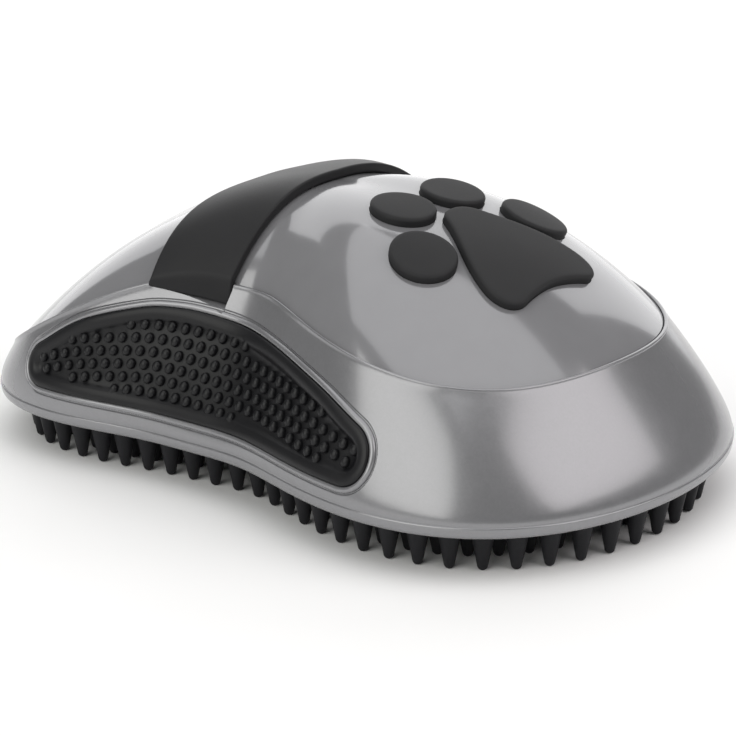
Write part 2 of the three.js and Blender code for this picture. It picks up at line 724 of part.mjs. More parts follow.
for (const [name, centre] of Object.entries(TOES)) {
  place(name, pawPad([circleOutline(centre, TOE_RADIUS), [centre]]), PAD_RUBBER);
}
place('heel_pad', pawPad([heelOutline(), HEEL_STEMS]), PAD_RUBBER);

place('base_plate', basePlate(), DARK_NYLON);
place('tooth_pad', toothPad(), BLACK_RUBBER);

CASE_SCREWS.forEach((centre, i) => {
  place(`case_screw_${i + 1}`, screw(centre, BASE_BOTTOM + GAP, CASE_SCREW), STEEL);
});
clampScrewPlaces().forEach((centre, i) => {
  place(`clamp_screw_${i + 1}`, screw(centre, clampScrewBottom(), CLAMP_SCREW), STEEL);
});

export default brush;
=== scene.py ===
# The looks of the rubber curry brush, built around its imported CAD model.
#
# Metres, +Z up, +X towards the wide nose, +Y to the left. The body's form is described around an
# upright apex axis: a direction round it is an angle, 0 at the nose and pi at the tail.

import json
import math

import bpy
import numpy as np
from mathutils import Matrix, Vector
from mathutils.geometry import delaunay_2d_cdt


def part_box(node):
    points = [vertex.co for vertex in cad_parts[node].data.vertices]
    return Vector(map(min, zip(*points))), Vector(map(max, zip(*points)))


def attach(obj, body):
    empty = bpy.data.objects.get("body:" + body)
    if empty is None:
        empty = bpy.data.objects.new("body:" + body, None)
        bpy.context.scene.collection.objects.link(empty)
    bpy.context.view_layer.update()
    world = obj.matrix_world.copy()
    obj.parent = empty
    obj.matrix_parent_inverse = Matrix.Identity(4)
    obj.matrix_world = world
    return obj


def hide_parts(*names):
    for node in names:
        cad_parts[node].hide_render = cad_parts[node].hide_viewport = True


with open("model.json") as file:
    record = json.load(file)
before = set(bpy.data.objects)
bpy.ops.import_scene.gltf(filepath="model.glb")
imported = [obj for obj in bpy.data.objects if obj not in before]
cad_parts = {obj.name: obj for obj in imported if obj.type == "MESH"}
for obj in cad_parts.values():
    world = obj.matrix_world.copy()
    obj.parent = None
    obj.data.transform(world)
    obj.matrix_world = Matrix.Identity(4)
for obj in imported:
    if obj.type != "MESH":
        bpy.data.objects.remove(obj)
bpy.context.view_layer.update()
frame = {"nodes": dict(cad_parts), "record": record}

# ---------------------------------------------------------------- the form, as the CAD model has it

RIM_RADII = [0.0708, 0.0687, 0.0559, 0.0391, 0.0363, 0.0425, 0.0558, 0.0582, 0.0587]
RIM_BULGE = 0.0006
RIM_HEIGHT = 0.0021
SEAM_INSETS = [0.0123, 0.0117, 0.0103, 0.0039, 0.0021]
SEAM_HEIGHTS = [0.0266, 0.0269, 0.032, 0.0332, 0.028, 0.0137, 0.0166]
SKIRT_BELLY = 0.21
SKIRT_RISE = 0.37
SHELL_WALL = 0.0024
LIP_STANDOFF = 0.0006
LEDGE_WIDTH = 0.0018
LEDGE_THICKNESS = 0.0015
DOME_TOP = 0.0452
DOME_TILT = 0.158
DOME_NOSE_POWER = 1.6
DOME_SIDE_POWER = 2.85
DOME_TAIL_POWER = 2.5
CAD_GAP = 0.0003


def even_curve(stations):
    """A smooth curve round the body through values at equal angles from the nose to the tail."""
    values = np.array(stations)
    last = len(values) - 1
    places = np.arange(last + 1)
    weights = np.where((places == 0) | (places == last), 0.5, 1.0)
    waves = np.cos(np.outer(places, places) * math.pi / last)
    terms = 2 / last * weights * (waves @ (weights * values))
    return lambda angle: np.cos(np.multiply.outer(np.asarray(angle), places)) @ terms


rim_radius = even_curve(RIM_RADII)
seam_inset = even_curve(SEAM_INSETS)
seam_height = even_curve(SEAM_HEIGHTS)

shell_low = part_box("lower_shell")[0]
APEX_X = shell_low.x + float(rim_radius(math.pi)) + RIM_BULGE
RIM_BOTTOM = shell_low.z
RIM_TOP = RIM_BOTTOM + RIM_HEIGHT


def seam_radius(angle):
    return rim_radius(angle) - seam_inset(angle)


def skirt_radius(angle, height):
    """The outside of the skirt at a height: a curve bulging from the rim crease to the seam."""
    low = rim_radius(angle) + RIM_BULGE
    high = seam_radius(angle) + LIP_STANDOFF
    middle = low + SKIRT_BELLY * (high - low)
    top = seam_height(angle)
    rise = SKIRT_RISE * (top - RIM_TOP)
    bend = top - RIM_TOP - 2 * rise
    climb = np.maximum(height - RIM_TOP, 0)
    t = (np.sqrt(rise * rise + bend * climb) - rise) / bend
    return (1 - t) ** 2 * low + 2 * t * (1 - t) * middle + t * t * high


def dome_height(x, y):
    """The height of the dome's outside over a place in plan."""
    angle = np.arctan2(y, x)
    reach = np.hypot(x, y) / seam_radius(angle)
    along = np.cos(angle) ** 2
    end_power = np.where(x >= 0, DOME_NOSE_POWER, DOME_TAIL_POWER)
    power = end_power * along + DOME_SIDE_POWER * (1 - along)
    edge = seam_height(angle)
    return edge + (DOME_TOP - edge) * (1 - reach ** power) + DOME_TILT * x * (1 - reach ** 2)


def unit(vectors):
    return vectors / np.linalg.norm(vectors, axis=-1, keepdims=True)


SLOPE_STEP = 0.00005


def dome_point(x, y, standoff):
    """Points standing off the dome by a distance square to its surface."""
    x, y = np.broadcast_arrays(x, y)
    slope_x = (dome_height(x + SLOPE_STEP, y) - dome_height(x - SLOPE_STEP, y)) / (2 * SLOPE_STEP)
    slope_y = (dome_height(x, y + SLOPE_STEP) - dome_height(x, y - SLOPE_STEP)) / (2 * SLOPE_STEP)
    outward = unit(np.stack([-slope_x, -slope_y, np.ones_like(slope_x)], -1))
    return np.stack([x, y, dome_height(x, y)], -1) + np.expand_dims(standoff, -1) * outward


def halving(inside, low, high):
    """The edge of the stretch that is inside, between low and high, found by halving."""
    for _ in range(40):
        middle = (low + high) / 2
        within = inside(middle)
        low = np.where(within, middle, low)
        high = np.where(within, high, middle)
    return low


MIDDLE_CLEAR = 0.01
FAR = 0.08


def side_reach(x, height):
    """How far the skirt reaches to one side, at a place along X and a height."""
    x, height = np.broadcast_arrays(x, height)
    return halving(
        lambda y: np.hypot(x, y) < skirt_radius(np.arctan2(y, x), height),
        np.full(x.shape, MIDDLE_CLEAR),
        np.full(x.shape, FAR),
    )


def side_surface(side):
    """A function that gives points standing off one side of the skirt, from X, height and standoff."""

    def point(x, height, standoff):
        along = side_reach(x + SLOPE_STEP, height) - side_reach(x - SLOPE_STEP, height)
        up = side_reach(x, height + SLOPE_STEP) - side_reach(x, height - SLOPE_STEP)
        slopes = np.stack([-along, np.full_like(along, 2 * SLOPE_STEP), -up], -1)
        place = np.stack(np.broadcast_arrays(x, side_reach(x, height), height), -1)
        return (place + np.expand_dims(standoff, -1) * unit(slopes)) * np.array([1, side, 1])

    return point


# ---------------------------------------------------------------- curves in a plane

def bezier(start, first, second, end, count=40):
    t = np.linspace(0, 1, count, endpoint=False)[:, None]
    start, first, second, end = map(np.array, (start, first, second, end))
    return (
        (1 - t) ** 3 * start + 3 * t * (1 - t) ** 2 * first
        + 3 * t * t * (1 - t) * second + t ** 3 * end
    )


def spline(points, count=12):
    """A smooth curve through points, with the end points doubled."""
    points = np.array(points)
    padded = np.vstack([points[:1], points, points[-1:]])
    t = np.linspace(0, 1, count, endpoint=False)[:, None]
    stretches = []
    for before, start, end, after in zip(padded, padded[1:], padded[2:], padded[3:]):
        leave = (end - before) / 2
        arrive = (after - start) / 2
        stretches.append(
            (2 * t ** 3 - 3 * t ** 2 + 1) * start + (t ** 3 - 2 * t ** 2 + t) * leave
            + (-2 * t ** 3 + 3 * t ** 2) * end + (t ** 3 - t ** 2) * arrive
        )
    return np.vstack(stretches)


def evenly(outline, count):
    """A closed outline divided into equal steps."""
    closed = np.vstack([outline, outline[:1]])
    lengths = np.concatenate([[0], np.cumsum(np.linalg.norm(np.diff(closed, axis=0), axis=1))])
    targets = np.linspace(0, lengths[-1], count, endpoint=False)
    return np.stack([np.interp(targets, lengths, closed[:, axis]) for axis in (0, 1)], -1)


def counterclockwise(outline):
    x, y = outline.T
    area = np.sum(x * np.roll(y, -1) - y * np.roll(x, -1))
    return outline if area > 0 else outline[::-1]


def inset(outline, distance):
    """A counterclockwise outline moved inwards, or outwards if the distance is negative."""
    along = unit(np.roll(outline, -1, 0) - np.roll(outline, 1, 0))
    return outline + distance * np.stack([-along[:, 1], along[:, 0]], -1)


def rounded_path(points, passes=3):
    """Rows of points along the first axis, with the corners cut off again and again."""
    for _ in range(passes):
        nearer = 0.75 * points[:-1] + 0.25 * points[1:]
        further = 0.25 * points[:-1] + 0.75 * points[1:]
        cut = np.stack([nearer, further], 1).reshape(-1, *points.shape[1:])
        points = np.concatenate([points[:1], cut, points[-1:]])
    return points


def arc(centre, radius, start, end, steps):
    """Points on an arc, with angles in degrees."""
    turn = np.radians(np.linspace(start, end, steps))
    return [(centre[0] + radius * math.cos(a), centre[1] + radius * math.sin(a)) for a in turn]


# ---------------------------------------------------------------- meshes

def lattice(rows, columns, close_rows):
    """Faces of a grid of points whose columns close on themselves, with capped or closed rows."""
    faces = []
    for row in range(rows if close_rows else rows - 1):
        start = row * columns
        above = (row + 1) % rows * columns
        for column in range(columns):
            after = (column + 1) % columns
            faces.append((start + column, start + after, above + after, above + column))
    if not close_rows:
        faces.append(tuple(reversed(range(columns))))
        faces.append(tuple(range((rows - 1) * columns, rows * columns)))
    return faces


def facing_out(points, faces):
    """The faces of a closed body, turned so that they look outwards."""
    volume = 0.0
    for face in faces:
        corners = points[list(face)]
        fans = np.cross(corners[1:-1] - corners[0], corners[2:] - corners[0])
        volume += float(np.sum(fans @ corners[0]))
    return faces if volume > 0 else [tuple(reversed(face)) for face in faces]


def make_piece(name, points, faces):
    """A mesh object from points around the apex axis."""
    points = np.asarray(points, float).reshape(-1, 3)
    mesh = bpy.data.meshes.new(name)
    mesh.from_pydata((points + [APEX_X, 0, 0]).tolist(), [], facing_out(points, faces))
    mesh.update()
    piece = bpy.data.objects.new(name, mesh)
    bpy.context.scene.collection.objects.link(piece)
    return piece


ANGLES = np.linspace(0, 2 * math.pi, 360, endpoint=False)


def ring_piece(name, section, close_rows=True):
    """A body round the apex axis from a list of (radii, heights), one value for each angle."""
    rows = []
    for radii, heights in section:
        radii, heights = np.broadcast_arrays(radii, heights, subok=False)
        radii = np.broadcast_to(radii, ANGLES.shape)
        heights = np.broadcast_to(heights, ANGLES.shape)
        rows.append(np.stack([radii * np.cos(ANGLES), radii * np.sin(ANGLES), heights], -1))
    return make_piece(name, rows, lattice(len(rows), len(ANGLES), close_rows))


FINE_FILLING = 0.0011


def surface_piece(name, outline, profile, surface, filling):
    """A pad lying on a surface: rings of (inset, standoff) inside an outline, closed by filled ends."""
    rows = []
    for distance, standoff in profile:
        ring = inset(outline, distance)
        rows.append(surface(ring[:, 0], ring[:, 1], np.full(len(ring), standoff)))
    count = len(outline)
    faces = lattice(len(rows), count, False)[:-2]
    points = [np.vstack(rows)]
    used = len(rows) * count
    for row in (0, len(rows) - 1):
        distance, standoff = profile[row]
        ring = inset(outline, distance)
        extra, triangles = filled(ring, filling)
        if len(extra):
            points.append(surface(extra[:, 0], extra[:, 1], np.full(len(extra), standoff)))
        order = [row * count + i for i in range(count)] + [used + i for i in range(len(extra))]
        used += len(extra)
        for corners in triangles:
            corners = [order[i] for i in corners]
            faces.append(tuple(corners if row else reversed(corners)))
    return make_piece(name, np.vstack(points), faces)


def filled(ring, pitch):
    """Points inside a ring at a pitch, and the triangles that fill the ring with them."""
    low, high = ring.min(0), ring.max(0)
    grid = np.stack(np.meshgrid(*[np.arange(low[i], high[i], pitch) for i in (0, 1)]), -1)
    grid = grid.reshape(-1, 2)
    apart = np.linalg.norm(grid[:, None] - ring[None], axis=-1).min(1)
    grid = grid[(apart > pitch * 0.6) & enclosed(grid, ring)]
    corners = [Vector(point) for point in np.vstack([ring, grid]).tolist()]
    edges = [(i, (i + 1) % len(ring)) for i in range(len(ring))]
    inside_only = 1
    result = delaunay_2d_cdt(corners, edges, [], inside_only, 1e-9)
    if len(result[0]) != len(corners):
        raise ValueError("the outline crosses itself")
    return grid, [tuple(face) for face in result[2]]


def enclosed(points, ring):
    """Which points lie inside a closed ring, by counting crossings."""
    x, y = points[:, :1], points[:, 1:]
    (x0, y0), (x1, y1) = ring.T, np.roll(ring, -1, 0).T
    spans = (y0 > y) != (y1 > y)
    with np.errstate(divide="ignore", invalid="ignore"):
        crossing = x0 + (y - y0) * (x1 - x0) / (y1 - y0)
    return np.sum(spans & (x < crossing), 1) % 2 == 1


def strip_piece(name, outline, section, surface):
    """A closed moulding along an outline on a surface, from (distance outwards, standoff) corners."""
    rows = []
    for distance, standoff in section:
        ring = inset(outline, -distance)
        rows.append(surface(ring[:, 0], ring[:, 1], np.full(len(ring), standoff)))
    return make_piece(name, rows, lattice(len(rows), len(outline), True))


def combine(piece, other, operation):
    """Joins another piece to this one or cuts it away, and removes the other piece."""
    modifier = piece.modifiers.new(operation, "BOOLEAN")
    modifier.operation = operation
    modifier.solver = "MANIFOLD"
    modifier.object = other
    bpy.context.view_layer.update()
    evaluated = piece.evaluated_get(bpy.context.evaluated_depsgraph_get())
    mesh = bpy.data.meshes.new_from_object(evaluated)
    piece.modifiers.clear()
    old = piece.data
    piece.data = mesh
    mesh.name = piece.name
    bpy.data.meshes.remove(old)
    bpy.data.objects.remove(other)


def smooth(piece, crease_degrees=35):
    piece.data.shade_smooth()
    piece.data.set_sharp_from_angle(angle=math.radians(crease_degrees))


# ---------------------------------------------------------------- palm strap

strap_low, strap_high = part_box("palm_strap")
STRAP_BACK = strap_low.x - APEX_X
STRAP_FRONT = strap_high.x - APEX_X
STRAP_TAPER = 0.0016
STRAP_OUTER = 0.00175  # the top face's distance from the dome
STRAP_INNER = 0.00015
STRAP_TAIL_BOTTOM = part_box("strap_clamp_left")[1].z + CAD_GAP
STRAP_THICKNESS = 0.00135
STRAP_TAIL_TOP = STRAP_TAIL_BOTTOM + STRAP_THICKNESS
STRAP_TAIL_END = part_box("strap_clamp_left")[0].y
STRAP_TUCK = 0.0003
STRAP_BEND_WIDTH = 0.0016
STRAP_TWIST = 54.0  # per metre
STRAP_BEND_ROUND = 0.3  # part of the outer distance
STRAP_EDGE_ROUND = 0.00035
STRAP_FLAT = 0.9  # part of the half width
STRAP_STEPS = 28
STRAP_SLOT_GAP = 0.00012
STRAP_SLOT_OPENING = 0.002
STRAP_SLOT_ROUND = 0.0001


def strap_path(place, across, grow, out_grow):
    """The strap's run over the dome and into both slots, at one place of its section."""
    fractions = np.linspace(0, 1, STRAP_STEPS)
    back = STRAP_BACK + STRAP_TAPER * np.clip(2 * fractions - 1, 0, 1) ** 2
    x = back - grow + place * (STRAP_FRONT - back + 2 * grow)
    reach = halving(
        lambda y: np.hypot(x, y) < seam_radius(np.arctan2(y, x)),
        np.zeros_like(x),
        np.full_like(x, FAR),
    )
    inner = STRAP_INNER - grow
    outer = STRAP_OUTER + grow + out_grow
    standoff = inner + across * (outer - inner)
    over = dome_point(x, fractions * reach, np.full_like(x, standoff))
    top, bottom = STRAP_TAIL_TOP + grow, STRAP_TAIL_BOTTOM - grow
    height = top + across * (bottom - top)
    x, reach = x[-1], reach[-1]
    out = standoff - STRAP_TUCK
    middle = (STRAP_FRONT + STRAP_BACK) / 2
    twist = STRAP_TWIST * (middle - x) * (out + STRAP_BEND_WIDTH)
    round_bend = STRAP_BEND_ROUND * across * STRAP_OUTER
    tail = [
        (reach + out, height + twist + round_bend),
        (reach + out, height + twist),
        (reach + out - round_bend, height + twist),
        (reach - STRAP_BEND_WIDTH, height),
        (STRAP_TAIL_END - grow, height),
    ]
    tail = np.column_stack([np.full(len(tail), x), tail])
    half = np.vstack([over, tail])
    other = half[:0:-1] * np.array([1, -1, 1])
    return rounded_path(np.vstack([other, half]))


def strap_piece(name, grow, out_grow, edge_round):
    """The strap as one band with rounded edges, or that band grown to clear its path."""
    half_width = (STRAP_FRONT - STRAP_BACK) / 2 + grow
    thickness = STRAP_OUTER - STRAP_INNER + 2 * grow + out_grow
    r = edge_round
    section = [
        *[(w * half_width * STRAP_FLAT, 0) for w in np.linspace(-1, 1, 9)],
        *arc((half_width - r, r), r, -90, 0, 5),
        *arc((half_width - r, thickness - r), r, 0, 90, 5),
        *[(w * half_width * STRAP_FLAT, thickness) for w in np.linspace(1, -1, 9)],
        *arc((r - half_width, thickness - r), r, 90, 180, 5),
        *arc((r - half_width, r), r, 180, 270, 5),
    ]
    paths = [
        strap_path((w / half_width + 1) / 2, h / thickness, grow, out_grow) for w, h in section
    ]
    rows = np.stack(paths, 1)
    return make_piece(name, rows, lattice(len(rows), len(section), False))


def strap_slot(out_grow):
    """The room that the strap needs, to be cut out of a shell."""
    return strap_piece("slot", STRAP_SLOT_GAP, out_grow, STRAP_SLOT_ROUND)


def palm_strap():
    strap = strap_piece("palm_strap_band", 0.0, 0.0, STRAP_EDGE_ROUND)
    smooth(strap)
    return strap


# ---------------------------------------------------------------- side grips

GRIP_FOOT_BACK = (-0.029, 0.0126)
GRIP_FOOT_FRONT = (0.036, 0.0118)
GRIP_NOSE = (0.0374, 0.0206)
GRIP_CROWN = [
    (0.029, 0.0239), (0.02, 0.0259), (0.01, 0.0271), (0, 0.0284),
    (-0.006, 0.0288), (-0.012, 0.0282), (-0.022, 0.0249), (-0.03, 0.0198),
]
GRIP_NOSE_BULGE = 0.0048
GRIP_TAIL_BULGE = 0.0042
GRIP_FIELD = -0.0004  # the recessed field's level against the shell's surface
GRIP_PROFILE = [  # inset and standoff, from behind the wall over the border down to the field
    (0, -0.0036), (0, 0.0002), (0.00012, 0.00038), (0.0004, 0.0005), (0.0009, 0.00053),
    (0.0016, 0.00045), (0.002, 0.00025), (0.0023, -0.00015), (0.0027, GRIP_FIELD),
]
NUB_RADIUS = 0.00078
NUB_HEIGHT = 0.0009
NUB_PITCH = 0.0023
NUB_ROW_STEP = 0.0021
NUB_ROWS = 6
NUB_CLEARANCE = 0.0023  # from a nub's middle to the grip's edge
NUB_LONG = 0.92  # across the nub, along the grip
NUB_TALL = 1.12
NUB_SIDES = 12
NUB_FOOT = [(1.12, -0.4), (1.0, 0.25)]  # parts of the nub's radius and height
NUB_SHOULDER = 0.4
BEAD_SECTION = [  # distance outwards and standoff
    (0.0001, -0.0014), (0.0001, 0.0002), (0.0002, 0.00032), (0.0004, 0.00038),
    (0.00062, 0.00036), (0.0008, 0.00026), (0.00095, 0.00008), (0.001, -0.0001), (0.001, -0.0014),
]
GROOVE_SECTION = [(0.0009, 0.001), (0.0014, 0.001), (0.00135, -0.00003), (0.00115, -0.00022),
                  (0.00095, -0.00022)]


def grip_outline():
    """A side grip seen from the side, in X and height: a low arch with a flat foot."""
    foot = np.linspace(GRIP_FOOT_BACK, GRIP_FOOT_FRONT, 40, endpoint=False)
    nose = bezier(
        GRIP_FOOT_FRONT,
        (GRIP_FOOT_FRONT[0] + GRIP_NOSE_BULGE, GRIP_FOOT_FRONT[1]),
        (GRIP_NOSE[0] + GRIP_NOSE_BULGE, GRIP_NOSE[1] - GRIP_NOSE_BULGE / 2),
        GRIP_NOSE,
    )
    crown = spline([GRIP_NOSE, *GRIP_CROWN])
    tail = bezier(
        GRIP_CROWN[-1],
        (GRIP_CROWN[-1][0] - GRIP_TAIL_BULGE, GRIP_CROWN[-1][1] - GRIP_TAIL_BULGE / 2),
        (GRIP_FOOT_BACK[0] - GRIP_TAIL_BULGE, GRIP_FOOT_BACK[1]),
        GRIP_FOOT_BACK,
    )
    return counterclockwise(evenly(np.vstack([foot, nose, crown, tail]), 220))


def nub_places(outline):
    """Nubs in staggered rows along the arch's middle line, wherever they clear the grip's border."""
    around = np.roll(outline, -outline[:, 0].argmin(), 0)
    turn = around[:, 0].argmax()
    foot, crown = around[:turn + 1], around[:turn - 1:-1]
    places = []
    for row in range(NUB_ROWS):
        x = np.arange(foot[0, 0] + 0.5 * NUB_PITCH * (row % 2), foot[-1, 0], NUB_PITCH)
        middle = (np.interp(x, *foot.T) + np.interp(x, *crown.T)) / 2
        line = np.stack([x, middle + (row - (NUB_ROWS - 1) / 2) * NUB_ROW_STEP], -1)
        from_edge = np.linalg.norm(line[:, None] - outline[None], axis=-1).min(1)
        places.extend(line[(from_edge > NUB_CLEARANCE) & enclosed(line, outline)])
    return places


def nubs_piece(places, surface):
    """All of a grip's nubs, round-topped and a little taller than wide."""
    sides = np.linspace(0, 2 * math.pi, NUB_SIDES, endpoint=False)
    profile = list(NUB_FOOT)
    for a in np.radians([25, 45, 65, 82]):
        profile.append((math.cos(a), NUB_SHOULDER + (1 - NUB_SHOULDER) * math.sin(a)))
    points, faces = [], []
    for x, height in places:
        start = len(points)
        for width, level in profile:
            radius = width * NUB_RADIUS
            ring = surface(
                x + NUB_LONG * radius * np.cos(sides),
                height + NUB_TALL * radius * np.sin(sides),
                np.full(len(sides), GRIP_FIELD + level * NUB_HEIGHT),
            )
            points.extend(ring)
        for face in lattice(len(profile), len(sides), False):
            faces.append(tuple(start + i for i in face))
    return make_piece("nubs", np.array(points), faces)


def side_grip(side, name):
    outline = grip_outline()
    surface = side_surface(side)
    grip = surface_piece(name, outline, GRIP_PROFILE, surface, FINE_FILLING)
    combine(grip, nubs_piece(nub_places(outline), surface), "UNION")
    smooth(grip, 50)
    return grip


# ---------------------------------------------------------------- shells

SEAM_GAP = 0.00014
LIP_RADIUS = 0.00036
LIP_RISE = 0.0002
RIM_ROUND = 0.0009
RIM_FACE = RIM_BULGE - 0.0001  # just inside the facets of the CAD model's rim
RIM_SET_BACK = 0.0001
RIM_EDGE_ROUND = 0.0003
CREASE_DEPTH = 0.00035
CREASE_SPREAD = 0.0009
CREASE_LIFTS = [0.00005, 0.0002, 0.0004, 0.0007, 0.0011, 0.0016, 0.0024]
SKIRT_STEPS = 30
WINDOW_GAP = 0.00008
WINDOW_DEPTH = 0.006  # more than the wall, so that the cut goes right through
WINDOW_FILLING = 0.004
DOME_RINGS = 70
INNER_RINGS = 12
INNER_REACH = 0.999
DOME_EDGE_ROUND = 0.00025


def lower_section():
    """The closed section of the lower shell, from the inner edge of its foot outwards and up."""
    rim = rim_radius(ANGLES)
    seam = seam_radius(ANGLES)
    top = seam_height(ANGLES)
    face = rim + RIM_FACE
    section = [(rim - SHELL_WALL + RIM_BULGE, RIM_BOTTOM)]
    for across, up in arc((-RIM_ROUND, RIM_ROUND), RIM_ROUND, -90, -5, 7):
        section.append((face - RIM_SET_BACK + across, RIM_BOTTOM + up))
    for across, up in arc((-RIM_EDGE_ROUND, -RIM_EDGE_ROUND), RIM_EDGE_ROUND, 5, 80, 5):
        section.append((face + across, RIM_TOP - RIM_SET_BACK + up))
    heights = [RIM_TOP + lift for lift in CREASE_LIFTS]
    crease_top = heights[-1]
    skirt_top = top - LIP_RADIUS * 2
    for t in np.linspace(0, 1, SKIRT_STEPS)[1:]:
        heights.append(crease_top + t * (skirt_top - crease_top))
    for height in heights:
        recess = CREASE_DEPTH * np.exp(-(height - RIM_TOP) / CREASE_SPREAD)
        section.append((skirt_radius(ANGLES, height) - recess, height))
    lip_middle = seam + SEAM_GAP + LIP_RADIUS
    for across, up in arc((0, 0), LIP_RADIUS, -15, 180, 10):
        section.append((lip_middle + across, top + LIP_RISE - LIP_RADIUS + up))
    ledge_top = top - SHELL_WALL - CAD_GAP
    ledge_bottom = ledge_top - LEDGE_THICKNESS
    section.append((seam + SEAM_GAP, ledge_top))
    section.append((seam - LEDGE_WIDTH, ledge_top))
    section.append((seam - LEDGE_WIDTH, ledge_bottom))
    for t in np.linspace(1, 0, 6):
        height = RIM_TOP + t * (ledge_bottom - RIM_SET_BACK - RIM_TOP)
        section.append((skirt_radius(ANGLES, height) - SHELL_WALL, height))
    return section


def lower_shell():
    shell = ring_piece("lower_shell_casing", lower_section())
    outline = grip_outline()
    window = [(-WINDOW_GAP, -WINDOW_DEPTH), (-WINDOW_GAP, WINDOW_DEPTH / 2)]
    for side in (-1, 1):
        surface = side_surface(side)
        opening = surface_piece("window", outline, window, surface, WINDOW_FILLING)
        combine(shell, strip_piece("groove", outline, GROOVE_SECTION, surface), "DIFFERENCE")
        combine(shell, opening, "DIFFERENCE")
        combine(shell, strip_piece("bead", outline, BEAD_SECTION, surface), "UNION")
    combine(shell, strap_slot(STRAP_SLOT_OPENING), "DIFFERENCE")
    smooth(shell)
    return shell


def dome_ring(fraction, depth):
    """The radii and heights of a ring part of the way out to the seam, a depth below the dome."""
    radii = fraction * seam_radius(ANGLES)
    return radii, dome_height(radii * np.cos(ANGLES), radii * np.sin(ANGLES)) - depth


def upper_shell():
    seam = seam_radius(ANGLES)
    edge = seam_height(ANGLES)
    outside = np.sin(np.arange(1, DOME_RINGS) / DOME_RINGS * math.pi / 2)
    inside = INNER_REACH * np.sin(np.arange(INNER_RINGS, 0, -1) / INNER_RINGS * math.pi / 2)
    section = [dome_ring(fraction, 0) for fraction in outside]
    section.append((seam - DOME_EDGE_ROUND * 0.3, edge - DOME_EDGE_ROUND * 0.3))
    section.append((seam, edge - DOME_EDGE_ROUND))
    section.append((seam, edge - SHELL_WALL))
    section.extend(dome_ring(fraction, SHELL_WALL) for fraction in inside)
    dome = ring_piece("upper_shell_dome", section, close_rows=False)
    for outline in pad_outlines().values():
        pocket = surface_piece("pocket", outline, POCKET_PROFILE, dome_point, POCKET_FILLING)
        combine(dome, pocket, "DIFFERENCE")
    combine(dome, strap_slot(0.0), "DIFFERENCE")
    smooth(dome)
    return dome


# ---------------------------------------------------------------- paw pads

TOE_NODES = ["toe_pad_outer_right", "toe_pad_inner_right", "toe_pad_inner_left", "toe_pad_outer_left"]
HEEL_FRONT = 0.0463
HEEL_LOBE_HALF = 0.0118
PAD_SINK = 0.0009
PAD_HEIGHT = 0.0014
PAD_ROUND = 0.0006
POCKET_GAP = 0.0001
POCKET_PROFILE = [(-POCKET_GAP, -PAD_SINK - POCKET_GAP), (-POCKET_GAP, 0.001)]
POCKET_FILLING = 0.0015


def heel_outline():
    """The heel pad in plan: a blunt wedge that widens to two lobes at the nose end."""
    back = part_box("heel_pad")[0].x - APEX_X
    front, half = HEEL_FRONT, HEEL_LOBE_HALF
    upper = np.vstack([
        bezier((back, 0), (back, 0.0024), (back + 0.001, 0.0034), (back + 0.003, 0.0044)),
        bezier(
            (back + 0.003, 0.0044), (back + 0.008, 0.0072),
            (back + 0.0116, 0.0108), (front - 0.0044, half),
        ),
        bezier(
            (front - 0.0044, half), (front - 0.001, half + 0.0004),
            (front + 0.0006, 0.0098), (front, 0.0072),
        ),
        bezier((front, 0.0072), (front - 0.0004, 0.0048), (front - 0.0007, 0.002), (front - 0.0007, 0)),
        [(front - 0.0007, 0)],
    ])
    lower = upper[-2:0:-1] * np.array([1, -1])
    return counterclockwise(evenly(np.vstack([upper, lower]), 150))


def pad_outlines():
    """Each paw pad's outline in plan."""
    outlines = {}
    turn = np.linspace(0, 2 * math.pi, 96, endpoint=False)
    for node in TOE_NODES:
        low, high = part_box(node)
        centre = (low + high) / 2
        radius = (high.y - low.y) / 2
        outlines[node] = np.stack([
            centre.x - APEX_X + radius * np.cos(turn), centre.y + radius * np.sin(turn),
        ], -1)
    outlines["heel_pad"] = heel_outline()
    return outlines


def paw_pad(name, outline):
    profile = [(0, -PAD_SINK), (0, PAD_HEIGHT - PAD_ROUND)]
    for across, up in arc((PAD_ROUND, PAD_HEIGHT - PAD_ROUND), PAD_ROUND, 162, 95, 6):
        profile.append((across, up))
    profile.append((PAD_ROUND * 1.8, PAD_HEIGHT))
    pad = surface_piece(name, outline, profile, dome_point, FINE_FILLING)
    smooth(pad, 60)
    return pad


# ---------------------------------------------------------------- sole

TOOTH_BASE = 0.0066
TOOTH_BASE_RADIUS = 0.0024
TOOTH_SHANK_RADIUS = 0.00185  # at the top, under the flared foot
TOOTH_FLARE = 0.0007
TOOTH_ROOT = 0.0003
TOOTH_TIP_RADIUS = 0.00085
TOOTH_SIDES = 16
TOOTH_PITCH_NOSE = 0.0054
TOOTH_PITCH_SIDE = 0.0044
TOOTH_RING_INSETS = [0.0036, 0.0067, 0.0051, 0.0058, 0.0048]
TOOTH_ROW_STEP = 0.0054
FIELD_STEP = 0.011
FIELD_PITCH = 0.008
SOLE_INSET = 0.0025
SOLE_ROUND = 0.0003

ring_inset = even_curve(TOOTH_RING_INSETS)


def on_ring(angle, step):
    """Places a step inside the outer row of teeth."""
    radius = rim_radius(angle) - ring_inset(angle) - step
    return np.stack([radius * np.cos(angle), radius * np.sin(angle)], -1)


def outer_tooth_angles():
    """The angles of the outer row's teeth, wider apart round the nose."""
    samples = np.linspace(0, 2 * math.pi, 1441)
    middles = (samples[1:] + samples[:-1]) / 2
    towards_nose = np.maximum(np.cos(middles), 0) ** 4
    pitch = TOOTH_PITCH_SIDE + towards_nose * (TOOTH_PITCH_NOSE - TOOTH_PITCH_SIDE)
    steps = np.linalg.norm(np.diff(on_ring(samples, 0), axis=0), axis=1)
    pitches = np.concatenate([[0], np.cumsum(steps / pitch)])
    count = round(pitches[-1])
    return np.interp(np.arange(count) / count * pitches[-1], pitches, samples)


